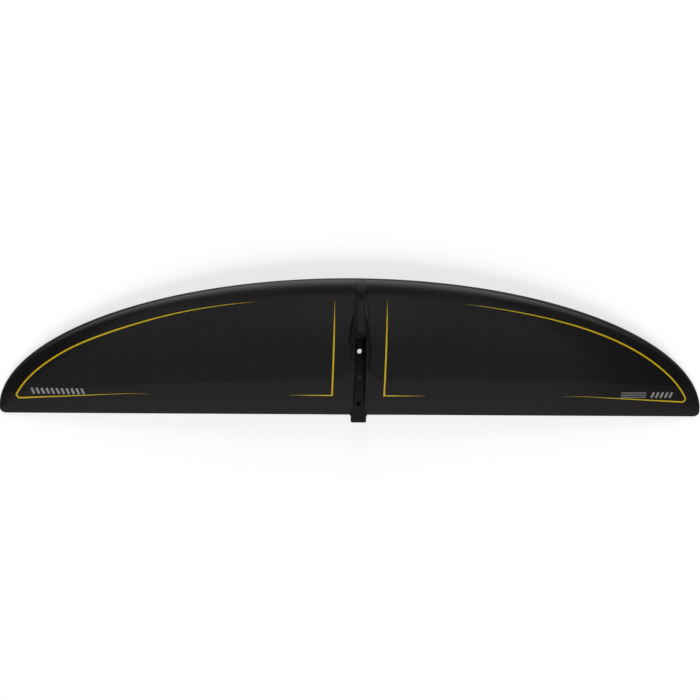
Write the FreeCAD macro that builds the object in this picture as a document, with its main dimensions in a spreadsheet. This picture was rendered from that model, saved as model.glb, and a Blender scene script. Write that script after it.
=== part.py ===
import FreeCAD, Part
import math
import os
import Sketcher
from FreeCAD import Vector

# Front wing of a hydrofoil: a moulded carbon wing with a fuselage pocket, built as its real layers.
# Frame: +X to the wing's left-hand side, +Y aft, +Z up, origin on the middle screw hole at the pocket floor.

os.makedirs("parts", exist_ok=True)
doc = FreeCAD.newDocument("foil_wing")
sheet = doc.addObject("Spreadsheet::Sheet", "sizes")

DRIVING_SIZES = {
    "span": 958.0,
    "root_chord": 184.0,
    "root_thickness": 23.0,
    "root_camber": 6.4,
    "droop_radius": 5736.0,
    "trail_from_origin": 50.5,
    "edge_below_floor": 3.2,
    "trail_thickness": 1.4,
    "skin_thickness": 1.4,
    "cap_thickness": 1.2,
    "cap_width": 14.0,
    "block_half_width": 22.0,
    "tip_filler_start": 430.0,
    "spar_root_offset": 62.0,
    "spar_tip_offset": 8.0,
    "strip_depth": 9.0,
    "slot_front_width": 13.4,
    "slot_rear_width": 17.0,
    "slot_front": 55.5,
    "slot_corner": 2.5,
    "land_height": 13.4,
    "land_width": 23.6,
    "land_rear": 16.5,
    "land_front": 60.0,
    "hump_height": 6.0,
    "lug_width": 20.8,
    "lug_length": 10.4,
    "lug_thickness": 4.4,
    "lug_corner": 2.0,
    "hole_diameter": 6.5,
    "hole_spacing": 35.4,
    "head_diameter": 12.4,
    "stripe_width": 2.15,
    "foot_width": 1.5,
    "base_line_width": 1.95,
    "stripe_thickness": 0.15,
    "base_line": 23.9,
    "corner_line_offset": 35.2,
    "corner_line_shift": 1.5,
}
for row, (name, value) in enumerate(DRIVING_SIZES.items(), start=1):
    sheet.set(f"A{row}", name)
    sheet.set(f"B{row}", str(value))
    sheet.setAlias(f"B{row}", name)
doc.recompute()


def size(name):
    """A driving size, read from the sheet in millimetres."""
    return float(sheet.get(name))


# Outline and surface formulas of the wing --------------------------------------------------

half_span = size("span") / 2
root_chord = size("root_chord")
trail_y = size("trail_from_origin")
edge_z = -size("edge_below_floor")
skin = size("skin_thickness")
tip_lead_chord = 8.0
tip_sweep = 2.4
tip_corner = tip_lead_chord + tip_sweep
nose_y = trail_y - root_chord
hump_end_y = -58.0
hump_foot_y = 48.0


def leading_edge(x):
    """Y of the elliptical leading edge at span station x."""
    share = abs(x) / half_span
    sweep_back = max(0.0, 1 - share**2) ** 0.525
    return trail_y - tip_lead_chord - (root_chord - tip_lead_chord) * sweep_back


def trailing_edge(x):
    """Y of the nearly straight trailing edge, with its rounded tip corner."""
    share = abs(x) / half_span
    into_corner = min(1.0, max(0.0, (abs(x) - half_span + tip_corner) / tip_corner))
    corner_rise = tip_corner * (1 - (1 - into_corner**2.6) ** (1 / 2.6))
    return trail_y + tip_sweep * share**2 - corner_rise


def edge_height(x):
    """Height of the parting surface, which droops to the tips on one large radius."""
    radius = size("droop_radius")
    return edge_z - radius + math.sqrt(radius**2 - x**2)


def smooth_step(value):
    """Rises from 0 to 1 with level ends."""
    value = min(1.0, max(0.0, value))
    return value * value * (3 - 2 * value)


def hump(x, y):
    """Height of the fuselage fairing above the plain upper surface."""
    if y < hump_end_y:
        height = math.sin(math.pi / 2 * max(0.0, (y - nose_y) / (hump_end_y - nose_y)))
    else:
        fade = min(1.0, (y - hump_end_y) / (hump_foot_y - hump_end_y))
        height = (1 - fade) ** 5 * (1 + 5 * fade)
    half_width = 8.5 + 8.5 * smooth_step((y - nose_y) / -nose_y)
    across = 1 - smooth_step((abs(x) / half_width - 0.3) / 0.7)
    return size("hump_height") * height * across


def keel(x, y):
    """Depth of the shallow pad under the screw heads below the plain lower surface."""
    across = 1 - smooth_step((abs(x) / 20.0 - 0.3) / 0.7)
    return 2.2 * smooth_step((y + 75.0) / 60.0) * across


def surface_heights(x, chord_share):
    """Upper and lower surface heights at span station x and share of the local chord."""
    chord = trailing_edge(x) - leading_edge(x)
    scale = chord / root_chord
    y = leading_edge(x) + chord * chord_share
    middle = edge_height(x) + size("root_camber") * scale * 4 * chord_share * (1 - chord_share)
    thickest = size("root_thickness") / 2 * 2.598 * scale
    half = thickest * math.sqrt(chord_share) * (1 - chord_share)
    half += size("trail_thickness") / 2 * scale**0.35 * chord_share
    return middle + half + hump(x, y), middle - half - keel(x, y)


def upper_height(x, y):
    """Height of the upper surface at a plan position."""
    chord = trailing_edge(x) - leading_edge(x)
    return surface_heights(x, (y - leading_edge(x)) / chord)[0]


# Tools that shape the pieces ----------------------------------------------------------------

CENTRE_STATIONS = [0, 2.5, 5, 7.5, 10, 12.5, 15, 18, 22, 28, 40, 60]
OUTER_STATIONS = [90, 130, 175, 220, 265, 305, 340, 370, 396, 418, 436, 450, 460]
SPAN_SPLITS = [32, 110, 200, 290, 365, 424, 455, 472]
LEAD_LAND = 5.0
TRAIL_LAND = 14.0
TIP_STATIONS = [467, 471.5, 474.5, 476.6, 477.9, 478.6, 478.9]


def mirrored(stations):
    """Stations on both sides of the centre, in order."""
    return [-x for x in reversed(stations) if x] + list(stations)


def spline(points, parameters):
    """A smooth curve through the points at the given parameters."""
    curve = Part.BSplineCurve()
    curve.interpolate(Points=points, Parameters=parameters)
    return curve


def span_parameter(x):
    """Surface parameter of a span station, spaced out towards the tips."""
    return math.asin(x / (half_span + 10.0))


def smooth_surface(grid, stations):
    """A smooth surface through a grid of points, one row of points for each span station."""
    across = [i / (len(grid[0]) - 1) for i in range(len(grid[0]))]
    along = [span_parameter(x) for x in stations]
    rows = [spline(points, across) for points in grid]
    row_poles = [row.getPoles() for row in rows]
    columns = [spline([poles[i] for poles in row_poles], along) for i in range(len(row_poles[0]))]
    column_poles = [column.getPoles() for column in columns]
    surface = Part.BSplineSurface()
    surface.buildFromPolesMultsKnots(
        column_poles,
        rows[0].getMultiplicities(),
        columns[0].getMultiplicities(),
        rows[0].getKnots(),
        columns[0].getKnots(),
        False,
        False,
        3,
        3,
    )
    return surface


def panels(surface, stations, across_splits):
    """The surface divided into panels: a list for each spanwise strip, running across the chord."""
    reach = stations[-1]
    spans = mirrored([x for x in SPAN_SPLITS if x < reach] + [reach])
    along = [span_parameter(x) for x in spans]
    across = [0.0] + across_splits + [1.0]
    strips = []
    for start, finish in zip(along, along[1:]):
        strip = []
        for low, high in zip(across, across[1:]):
            panel = surface.copy()
            panel.segment(low, high, start, finish)
            strip.append(panel)
        strips.append(strip)
    return strips


def rim_edges(strip, end):
    """Edges across the chord at one end of a strip of panels."""
    edges = []
    for panel in strip:
        along = panel.bounds()[2:]
        edges.append(panel.vIso(along[end]).toShape())
    return edges


def border(panel, end):
    """The spanwise edge of a panel at the start or the end of its chord direction."""
    return panel.uIso(panel.bounds()[end]).toShape()


def closed_solid(faces):
    """A solid bounded by faces that meet edge to edge."""
    shell = Part.makeShell(faces)
    shell.sewShape()
    solid = Part.Solid(shell)
    if solid.Volume < 0:
        solid.reverse()
    return solid


def outer_points(x, steps=20):
    """Points round the wing section at one span station, from upper rear to lower rear."""
    chord = trailing_edge(x) - leading_edge(x)
    points = []
    for step in range(-steps, steps + 1):
        share = (step / steps) ** 2
        heights = surface_heights(x, share)
        z = heights[0] if step < 0 else heights[1]
        if step == 0:
            z = edge_height(x)
        points.append(Vector(x, leading_edge(x) + chord * share, z))
    return points


def inner_points(x, inset, edge_inset, side, steps=16):
    """Points along the inside of the upper (side 0) or lower (side 1) skin at one span station."""
    chord = trailing_edge(x) - leading_edge(x)
    first = math.sqrt((LEAD_LAND + edge_inset) / chord)
    last = math.sqrt(1 - (TRAIL_LAND + edge_inset) / chord)
    points = []
    for step in range(steps + 1):
        share = (first + (last - first) * step / steps) ** 2
        height = surface_heights(x, share)[side] + (inset if side else -inset)
        points.append(Vector(x, leading_edge(x) + chord * share, height))
    return points


def tool_feature(name, shape):
    """A document object holding a formula-made shape."""
    feature = doc.addObject("Part::Feature", name)
    feature.Shape = shape
    return feature


def make_wing_form():
    """The whole wing as one closed form."""
    stations = mirrored(CENTRE_STATIONS + OUTER_STATIONS + TIP_STATIONS)
    grid = [outer_points(x) for x in stations]
    strips = panels(smooth_surface(grid, stations), stations, [0.2, 0.36, 0.64, 0.8])
    faces = [panel.toShape() for strip in strips for panel in strip]
    for strip in strips:
        faces.append(Part.makeRuledSurface(border(strip[0], 0), border(strip[-1], 1)))
    for row, strip, end in ((grid[0], strips[0], 0), (grid[-1], strips[-1], 1)):
        edges = rim_edges(strip, end) + [Part.makeLine(row[-1], row[0])]
        faces.append(Part.Face(Part.Wire(Part.__sortEdges__(edges))))
    return tool_feature("wing_form", closed_solid(faces))


def make_inner_form(name, inset, edge_inset, tip_station):
    """A space inside the skins, ending short of the edges and the tips."""
    stations = mirrored([x for x in CENTRE_STATIONS + OUTER_STATIONS if x <= tip_station])
    grids = [[inner_points(x, inset, edge_inset, side) for x in stations] for side in (0, 1)]
    above, below = [panels(smooth_surface(grid, stations), stations, [0.3, 0.6]) for grid in grids]
    faces = [panel.toShape() for strip in above + below for panel in strip]
    for high, low in zip(above, below):
        faces.append(Part.makeRuledSurface(border(high[0], 0), border(low[0], 0)))
        faces.append(Part.makeRuledSurface(border(high[-1], 1), border(low[-1], 1)))
    for row, end in ((0, 0), (-1, 1)):
        edges = rim_edges(above[row], end) + rim_edges(below[row], end)
        for corner in (0, -1):
            edges.append(Part.makeLine(grids[0][row][corner], grids[1][row][corner]))
        faces.append(Part.Face(Part.Wire(Part.__sortEdges__(edges))))
    return tool_feature(name, closed_solid(faces))


# Sketched and primitive tools, bound to the sheet ------------------------------------------

def from_sheet(name, factor=1.0, plus=0.0):
    """A length worked out from one driving size: its value and its expression."""
    return factor * size(name) + plus, f"{factor} * sizes.{name} * 1 mm + {plus} mm"


def fixed(value):
    """A length that is not driven by the sheet."""
    return value, f"{value} mm"


def sketched_pad(name, plane, corners, height, both_ways=False):
    """A body padded from a closed outline whose corners are bound to the sheet."""
    body = doc.addObject("PartDesign::Body", name)
    sketch = body.newObject("Sketcher::SketchObject", name + "_outline")
    origin_plane = [item for item in body.Origin.OriginFeatures if item.Role == plane][0]
    sketch.AttachmentSupport = [(origin_plane, "")]
    sketch.MapMode = "FlatFace"
    points = [Vector(across[0], along[0], 0) for across, along in corners]
    for index, point in enumerate(points):
        following = points[(index + 1) % len(points)]
        sketch.addGeometry(Part.LineSegment(point, following), False)
    for index in range(len(points)):
        following = (index + 1) % len(points)
        sketch.addConstraint(Sketcher.Constraint("Coincident", index, 2, following, 1))
    for index, (across, along) in enumerate(corners):
        for kind, (value, expression) in (("DistanceX", across), ("DistanceY", along)):
            if value == 0:
                kind_on_axis = -2 if kind == "DistanceX" else -1
                sketch.addConstraint(Sketcher.Constraint("PointOnObject", index, 1, kind_on_axis))
                continue
            number = sketch.addConstraint(Sketcher.Constraint(kind, -1, 1, index, 1, value))
            sketch.renameConstraint(number, f"{kind}{index}")
            sketch.setExpression(f"Constraints.{kind}{index}", expression)
    pad = body.newObject("PartDesign::Pad", name + "_pad")
    pad.Profile = sketch
    pad.Length = height[0]
    pad.setExpression("Length", height[1])
    if both_ways:
        pad.SideType = "Symmetric"
    doc.recompute()
    return body


def fillet_edges(body, name, wanted, radius):
    """Rounds the edges of a body whose middle passes the test, with a sheet-bound radius."""
    tip = body.Tip
    names = []
    for number, edge in enumerate(tip.Shape.Edges, start=1):
        if wanted(edge.CenterOfMass, edge):
            names.append(f"Edge{number}")
    fillet = body.newObject("PartDesign::Fillet", name)
    fillet.Base = (tip, names)
    fillet.Radius = radius[0]
    fillet.setExpression("Radius", radius[1])
    doc.recompute()


def make_slot_tool():
    """The fuselage pocket: straight walls that open out aft, with a rounded floor edge."""
    rear = from_sheet("trail_from_origin", 1.0, 20.0)
    front = from_sheet("slot_front", -1.0)
    corners = [
        (from_sheet("slot_front_width", -0.5), front),
        (from_sheet("slot_front_width", 0.5), front),
        (from_sheet("slot_rear_width", 0.5, 0.6), rear),
        (from_sheet("slot_rear_width", -0.5, -0.6), rear),
    ]
    body = sketched_pad("slot_tool", "XY_Plane", corners, fixed(40.0))

    def at_floor(middle, edge):
        return abs(middle.z) < 0.01 and middle.y < size("trail_from_origin")

    fillet_edges(body, "slot_floor_round", at_floor, from_sheet("slot_corner"))
    return body


def make_land_tool():
    """Clears the flat lands beside the pocket and the slanted end of the fairing."""
    front = from_sheet("land_front", -1.0)
    rear = from_sheet("land_rear", -1.0)
    level = from_sheet("land_height")
    climb = 17.0
    lean = 6.0
    corners = [
        (front, level),
        (rear, level),
        (rear, from_sheet("land_height", 1.0, climb)),
        (from_sheet("land_front", -1.0, -lean), from_sheet("land_height", 1.0, climb)),
    ]
    return sketched_pad("land_tool", "YZ_Plane", corners, from_sheet("land_width"), True)


def make_lug():
    """The tail lug that carries the pocket floor past the trailing edge, with its buried root."""
    front = from_sheet("trail_from_origin", 1.0, -18.0)
    shoulder = from_sheet("trail_from_origin", 1.0, -8.4)
    rear = (
        size("trail_from_origin") + size("lug_length"),
        "(sizes.trail_from_origin + sizes.lug_length) * 1 mm",
    )
    half_outline = []
    for sign in (-1, 1):
        root = from_sheet("slot_front_width", 0.5 * sign, -1.2 * sign)
        wide = from_sheet("lug_width", 0.5 * sign)
        half_outline.append([(root, front), (root, shoulder), (wide, shoulder), (wide, rear)])
    corners = half_outline[0] + half_outline[1][::-1]
    body = sketched_pad("tail_lug", "XY_Plane", corners, from_sheet("lug_thickness"))
    body.Tip.Reversed = True
    doc.recompute()

    def at_rear_corner(middle, edge):
        upright = abs(edge.tangentAt(edge.FirstParameter).z) > 0.9
        return upright and middle.y > size("trail_from_origin")

    fillet_edges(body, "lug_corner_round", at_rear_corner, from_sheet("lug_corner"))
    return body


def make_upper_space():
    """Everything above the parting surface, which follows the middle of the wing's thickness."""
    stations = mirrored([0, 70, 140, 210, 275, 330, 375, 410, 435, 452, 464, 472, 479, 486])
    grid = []
    for x in stations:
        at = min(abs(x), half_span - 1.5)
        front = leading_edge(at)
        chord = trailing_edge(at) - front
        rise = size("root_camber") * chord / root_chord
        row = []
        for step in range(13):
            share = -0.06 + 1.12 * step / 12
            if abs(x) > 470:
                share = -1.0 + 3.0 * step / 12
            z = edge_height(x) + max(-4.0, rise * 4 * share * (1 - share))
            row.append(Vector(x, front + chord * share, z))
        grid.append(row)
    sheet_face = smooth_surface(grid, stations).toShape()
    return tool_feature("upper_space", sheet_face.extrude(Vector(0, 0, 70)))


def make_screw_tool():
    """Three through holes with countersinks open to the underside."""
    tools = []
    for place, offset in (("front", -1), ("middle", 0), ("rear", 1)):
        y = offset * size("hole_spacing")
        under = surface_heights(0, (y - leading_edge(0)) / root_chord)[1]
        hole = doc.addObject("Part::Cylinder", "hole_" + place)
        hole.setExpression("Radius", "sizes.hole_diameter / 2 * 1 mm")
        hole.Height = 60
        hole.Placement.Base = Vector(0, y, -30)
        hole.setExpression("Placement.Base.y", f"{offset} * sizes.hole_spacing * 1 mm")
        sink = doc.addObject("Part::Cone", "countersink_" + place)
        sink.setExpression("Radius1", "(sizes.head_diameter / 2 + 1) * 1 mm")
        sink.setExpression("Radius2", "sizes.hole_diameter / 2 * 1 mm")
        sink.setExpression("Height", "(sizes.head_diameter / 2 + 1 - sizes.hole_diameter / 2) * 1 mm")
        sink.Placement.Base = Vector(0, y, under - 1)
        sink.setExpression("Placement.Base.y", f"{offset} * sizes.hole_spacing * 1 mm")
        tools += [hole, sink]
    return join("screw_tool", tools)


# Boolean helpers ------------------------------------------------------------------------------

def join(name, parts):
    """One shape fused from several."""
    fused = doc.addObject("Part::MultiFuse", name)
    fused.Shapes = parts
    doc.recompute()
    return fused


def shared(name, parts):
    """The space that several shapes share."""
    common = doc.addObject("Part::MultiCommon", name)
    common.Shapes = parts
    doc.recompute()
    return common


def less(name, base, tool):
    """One shape with another cut away."""
    cut = doc.addObject("Part::Cut", name)
    cut.Base = base
    cut.Tool = tool
    doc.recompute()
    return cut


def plan_zone(name, front, rear, side):
    """An upright prism between two plan curves on one side of the wing (+1 left, -1 right)."""
    start = size("block_half_width")
    finish = size("tip_filler_start")
    steps = 24
    stations = [start + (finish - start) * step / steps for step in range(steps + 1)]
    across = [step / steps for step in range(steps + 1)]
    front_points = [Vector(side * x, front(x), -60) for x in stations]
    rear_points = [Vector(side * x, rear(x), -60) for x in stations]
    edges = [
        spline(front_points, across).toShape(),
        Part.makeLine(front_points[-1], rear_points[-1]),
        spline(rear_points, across).toShape(),
        Part.makeLine(rear_points[0], front_points[0]),
    ]
    face = Part.Face(Part.Wire(Part.__sortEdges__(edges)))
    return tool_feature(name, face.extrude(Vector(0, 0, 120)))


# Thin painted films that follow the upper surface ---------------------------------------------

FILM_GAP = 0.03


def film(points, half_widths):
    """A thin raised film of varying width along a plan path, lying on the upper surface."""
    sides = ([], [])
    for index, (x, y) in enumerate(points):
        before = points[max(0, index - 1)]
        after = points[min(len(points) - 1, index + 1)]
        run = math.hypot(after[0] - before[0], after[1] - before[1])
        normal = ((before[1] - after[1]) / run, (after[0] - before[0]) / run)
        for side, sign in zip(sides, (-1, 1)):
            px = x + sign * half_widths[index] * normal[0]
            py = y + sign * half_widths[index] * normal[1]
            side.append(Vector(px, py, upper_height(px, py) + FILM_GAP))
    lengths = [0.0]
    for first, second in zip(points, points[1:]):
        lengths.append(lengths[-1] + math.dist(first, second))
    shares = [length / lengths[-1] for length in lengths]
    borders = [spline(side, shares) for side in sides]
    ribbon = Part.BSplineSurface()
    ribbon.buildFromPolesMultsKnots(
        [border.getPoles() for border in borders],
        [2, 2],
        borders[0].getMultiplicities(),
        [0, 1],
        borders[0].getKnots(),
        False,
        False,
        1,
        borders[0].Degree,
    )
    return ribbon.toShape().extrude(Vector(0, 0, size("stripe_thickness")))


def ramp(start, finish, steps):
    """Evenly spaced numbers from start to finish."""
    return [start + (finish - start) * step / steps for step in range(steps + 1)]


def outline_y(x, side):
    """Y of the painted line inside the leading edge; it lies a little further aft on the left."""
    swell = (0.7 + 1.5 * side) * math.exp(-(((x - 325.0) / 75.0) ** 2))
    tuck = smooth_step((x - 370.0) / 60.0)
    return 51.4 - 158.7 * (1 - (x / 462.5) ** 2.17) ** 0.53 + swell + tuck


def base_line_y(x):
    """Y of the painted line ahead of the trailing edge, which drifts aft to the tip."""
    return size("base_line") + 0.3 + 0.056 * max(0.0, x - 312.0)


LINE_START = 140.0
LINE_FULL = 330.0
LINE_TIP = 455.6
TIP_TURN = 5.0
BASE_END = 280.0
POINT_HALF_WIDTH = 0.06
LINE_LEAN = 0.01


def outline_stripe(side):
    """The long line inside the leading edge, round the tip and back along the trailing edge."""
    full = size("stripe_width") / 2
    base = size("base_line_width") / 2
    points = []
    widths = []
    for share in ramp(0.0, 1.0, 26):
        x = LINE_START + (LINE_TIP - LINE_START) * (1 - (1 - share) ** 2)
        points.append((x, outline_y(x, side)))
        grown = min(1.0, (x - LINE_START) / (LINE_FULL - LINE_START)) ** 0.7
        widths.append(max(POINT_HALF_WIDTH, full * grown))
    corner_x = LINE_TIP - TIP_TURN
    corner_y = base_line_y(corner_x) - TIP_TURN
    for angle in ramp(22.5, 90.0, 3):
        lean = math.radians(angle)
        points.append((corner_x + TIP_TURN * math.cos(lean), corner_y + TIP_TURN * math.sin(lean)))
        widths.append(full + (base - full) * angle / 90.0)
    for x in ramp(440.0, BASE_END, 11):
        points.append((x, base_line_y(x)))
        left_over = (x - BASE_END) / (corner_x - BASE_END)
        widths.append(max(POINT_HALF_WIDTH, base * left_over**0.9))
    return film([(side * x, y) for x, y in points], widths)


def corner_stripe(side):
    """The upright line beside the fairing and the short line that turns outboard from it."""
    foot_x = side * size("corner_line_offset") + size("corner_line_shift")
    y = size("base_line")
    full = size("stripe_width") / 2
    foot = size("foot_width") / 2
    upright = [(foot_x - LINE_LEAN * (y - along), along) for along in ramp(-105.0, y + foot, 16)]
    growth = [1 - max(0.0, 1 - (along + 105.0) / 80.0) ** 2.4 for _, along in upright]
    upright_film = film(upright, [max(POINT_HALF_WIDTH, full * share) for share in growth])
    reaches = [full, full + 0.5] + ramp(8.0, 57.0, 7)
    outboard = [(foot_x + side * reach, y) for reach in reaches]
    fading = [foot * (1 - reach / 57.0) ** 0.75 for reach in reaches]
    outboard_film = film(outboard, [max(POINT_HALF_WIDTH, width) for width in fading])
    return upright_film.fuse(outboard_film)


def slanted_bar(x, y, side):
    """One short slanted dash of the plain tip mark."""
    return film([(side * (x - 1.8), y + 3.8), (side * x, y), (side * (x + 1.8), y - 3.8)], [1.5] * 3)


def tip_mark(side):
    """A plain row of slanted dashes near the tip; on one side it ends in three fine lines."""
    row_y = 22.0
    bars = [slanted_bar(434.0 - 6.6 * index, row_y, side) for index in range(11 if side > 0 else 5)]
    if side < 0:
        for line in (-3.0, 0.0, 3.0):
            path = [(side * x, row_y + line) for x in ramp(362.0, 398.0, 6)]
            bars.append(film(path, [0.5] * len(path)))
    return Part.makeCompound(bars)


# The pieces ---------------------------------------------------------------------------------------

def spar_zone(name, side):
    """The straight swept strip that a spar and its caps fill."""
    half = size("cap_width") / 2
    inboard_x = from_sheet("block_half_width", side)
    outboard_x = from_sheet("tip_filler_start", side)
    corners = [
        (inboard_x, from_sheet("cap_width", -0.5, -size("spar_root_offset"))),
        (outboard_x, from_sheet("cap_width", -0.5, -size("spar_tip_offset"))),
        (outboard_x, from_sheet("cap_width", 0.5, -size("spar_tip_offset"))),
        (inboard_x, from_sheet("cap_width", 0.5, -size("spar_root_offset"))),
    ]
    body = sketched_pad(name, "XY_Plane", corners, fixed(120.0), True)
    return body


def spar_line(x):
    """Y of the middle of the spar at span station x."""
    start = size("block_half_width")
    finish = size("tip_filler_start")
    share = (x - start) / (finish - start)
    return -size("spar_root_offset") + (size("spar_root_offset") - size("spar_tip_offset")) * share


def spar_front(x):
    """Y of the front side of the spar."""
    return spar_line(x) - size("cap_width") / 2


def spar_back(x):
    """Y of the back side of the spar."""
    return spar_line(x) + size("cap_width") / 2


def ahead_of_nose(x):
    """Y of a line just ahead of the leading edge."""
    return leading_edge(x) - 5.0


def nose_strip_back(x):
    """Y where the nose strip meets the foam."""
    return leading_edge(x) + LEAD_LAND + size("strip_depth")


def tail_strip_front(x):
    """Y where the foam meets the tail strip."""
    return trailing_edge(x) - TRAIL_LAND - size("strip_depth")


def behind_tail(x):
    """Y of a line just behind the trailing edge."""
    return trailing_edge(x) + 5.0


def box_tool(name, length, x_start):
    """An upright box across the whole chord; its length and start are sheet expressions."""
    box = doc.addObject("Part::Box", name)
    box.Width = 260
    box.Height = 120
    box.Placement.Base = Vector(0, -150, -60)
    box.setExpression("Length", length)
    box.setExpression("Placement.Base.x", x_start)
    return box


wing_form = make_wing_form()
core_form = make_inner_form("core_form", skin, 0.0, 460)
web_form = make_inner_form("web_form", skin + size("cap_thickness"), 3.0, 450)
slot_tool = make_slot_tool()
land_tool = make_land_tool()
tail_lug = make_lug()
upper_space = make_upper_space()
screw_tool = make_screw_tool()
pocket_tool = join("pocket_tool", [slot_tool, land_tool])
openings_tool = join("openings_tool", [pocket_tool, screw_tool])
skin_openings = join("skin_openings", [openings_tool, tail_lug])
cap_space = less("cap_space", core_form, web_form)
skin_space = less("skin_space", wing_form, core_form)
closed_upper = shared("closed_upper_skin", [skin_space, upper_space])
closed_lower = less("closed_lower_skin", skin_space, upper_space)

centre_box = box_tool("centre_box", "2 * sizes.block_half_width * 1 mm", "-sizes.block_half_width * 1 mm")
block_form = shared("block_form", [core_form, centre_box])
block_with_lug = join("block_with_lug", [block_form, tail_lug])

pieces = {
    "upper_skin": less("upper_skin_cut", closed_upper, skin_openings),
    "lower_skin": less("lower_skin_cut", closed_lower, skin_openings),
    "mount_block": less("mount_block_cut", block_with_lug, openings_tool),
}

for side, hand in ((1, "left"), (-1, "right")):
    nose_zone = plan_zone("nose_zone_" + hand, ahead_of_nose, nose_strip_back, side)
    tail_zone = plan_zone("tail_zone_" + hand, tail_strip_front, behind_tail, side)
    front_zone = plan_zone("front_zone_" + hand, nose_strip_back, spar_front, side)
    rear_zone = plan_zone("rear_zone_" + hand, spar_back, tail_strip_front, side)
    spar = spar_zone("spar_zone_" + hand, side)
    tip_start = "sizes.tip_filler_start * 1 mm" if side > 0 else "-sizes.span / 2 * 1 mm"
    tip_box = box_tool("tip_box_" + hand, "(sizes.span / 2 - sizes.tip_filler_start) * 1 mm", tip_start)
    caps = shared("caps_" + hand, [cap_space, spar])
    pieces["nose_strip_" + hand] = shared("nose_" + hand, [core_form, nose_zone])
    pieces["front_core_" + hand] = shared("front_" + hand, [core_form, front_zone])
    pieces["upper_cap_" + hand] = shared("cap_above_" + hand, [caps, upper_space])
    pieces["lower_cap_" + hand] = less("cap_below_" + hand, caps, upper_space)
    pieces["shear_web_" + hand] = shared("web_" + hand, [web_form, spar])
    pieces["rear_core_" + hand] = shared("rear_" + hand, [core_form, rear_zone])
    pieces["tail_strip_" + hand] = shared("tail_" + hand, [core_form, tail_zone])
    pieces["tip_filler_" + hand] = shared("tip_" + hand, [core_form, tip_box])
    pieces["outline_stripe_" + hand] = tool_feature("outline_" + hand, outline_stripe(side))
    pieces["corner_stripe_" + hand] = tool_feature("corner_" + hand, corner_stripe(side))
    pieces["tip_mark_" + hand] = tool_feature("mark_" + hand, tip_mark(side))

for label, piece in pieces.items():
    piece.Label = label
doc.recompute()

for item in doc.Objects:
    if "Invalid" in item.State or "Error" in item.State:
        raise RuntimeError(f"{item.Name} did not build: {item.State}")
for label, piece in pieces.items():
    if piece.Shape.isNull() or not piece.Shape.isValid() or piece.Shape.Volume <= 0:
        raise RuntimeError(f"{label} has no sound shape")

for label, piece in pieces.items():
    piece.Shape.exportStep(f"parts/{label}.step")
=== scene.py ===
import math
import bmesh
import bpy
import numpy as np
from mathutils import Euler, Matrix, Vector


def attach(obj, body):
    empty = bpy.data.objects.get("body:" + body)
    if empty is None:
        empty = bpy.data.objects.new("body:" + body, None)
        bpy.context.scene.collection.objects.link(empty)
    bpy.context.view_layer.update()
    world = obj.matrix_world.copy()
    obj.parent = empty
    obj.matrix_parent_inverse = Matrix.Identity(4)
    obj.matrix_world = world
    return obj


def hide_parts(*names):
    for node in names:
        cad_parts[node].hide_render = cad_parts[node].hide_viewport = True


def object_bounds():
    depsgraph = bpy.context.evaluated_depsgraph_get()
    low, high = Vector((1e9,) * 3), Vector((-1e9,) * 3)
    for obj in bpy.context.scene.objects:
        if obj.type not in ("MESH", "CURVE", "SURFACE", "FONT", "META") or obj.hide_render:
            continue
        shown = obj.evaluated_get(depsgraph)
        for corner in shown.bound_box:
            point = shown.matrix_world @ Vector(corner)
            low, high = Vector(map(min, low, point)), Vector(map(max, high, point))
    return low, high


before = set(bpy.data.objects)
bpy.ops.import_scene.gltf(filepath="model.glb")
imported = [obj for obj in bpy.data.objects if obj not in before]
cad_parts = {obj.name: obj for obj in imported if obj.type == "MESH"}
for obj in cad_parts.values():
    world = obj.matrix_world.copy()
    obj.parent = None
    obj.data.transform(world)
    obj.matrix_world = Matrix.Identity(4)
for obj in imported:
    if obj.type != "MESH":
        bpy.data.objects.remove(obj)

# Looks for the front wing of a hydrofoil. Lengths are in millimetres until a mesh is made.
# +X runs to the left tip, +Y aft and +Z up, with the origin on the middle screw hole at the
# floor of the fuselage pocket.

cad_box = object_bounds()
MM = 0.001

# Sizes ------------------------------------------------------------------------------------------------

# Wing
HALF_SPAN = 479.0
ROOT_CHORD = 184.0
TRAIL_Y = 50.5
NOSE_Y = TRAIL_Y - ROOT_CHORD
EDGE_Z = -3.2
ROOT_THICKNESS = 23.0
ROOT_CAMBER = 6.4
DROOP_RADIUS = 5736.0
TRAIL_THICKNESS = 1.4
PEAK_FACTOR = 2.598
TIP_LEAD_CHORD = 8.0
TIP_SWEEP = 2.4
TIP_CORNER = TIP_LEAD_CHORD + TIP_SWEEP
LEAD_POWER = 0.525

# Fairing on top and pad below, both in the middle
HUMP_HEIGHT = 6.0
HUMP_END_Y = -58.0
HUMP_FOOT_Y = 48.0
HUMP_HALF_WIDTH = 8.5
KEEL_DEPTH = 2.2
KEEL_HALF_WIDTH = 20.0
KEEL_START_Y = -75.0
KEEL_LENGTH = 60.0

# Skins
SKIN = 1.4
LEAD_LAND = 5.0
TRAIL_LAND = 14.0
INNER_END = 460.0

# Fuselage pocket, the lands beside it and the tail lug
SLOT_FRONT_Y = -55.5
SLOT_REAR_Y = 70.5
SLOT_FRONT_HALF = 6.7
SLOT_REAR_HALF = 9.1
SLOT_ROUND = 2.5
LAND_HEIGHT = 13.4
LAND_HALF = 11.8
LAND_FRONT_Y = -60.0
LAND_REAR_Y = -16.5
LAND_CLIMB = 17.0
LAND_LEAN = 6.0
LUG_HALF = 10.4
LUG_ROOT_HALF = 5.5
LUG_FRONT_Y = 32.5
LUG_SHOULDER_Y = 42.1
LUG_LENGTH = 10.4
LUG_THICKNESS = 4.4
GUSSET_RADIUS = 2.8
HOLE_RADIUS = 3.25
HOLE_SPACING = 35.4
HEAD_RADIUS = 6.2
ABOVE_WING = 40.0

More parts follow.
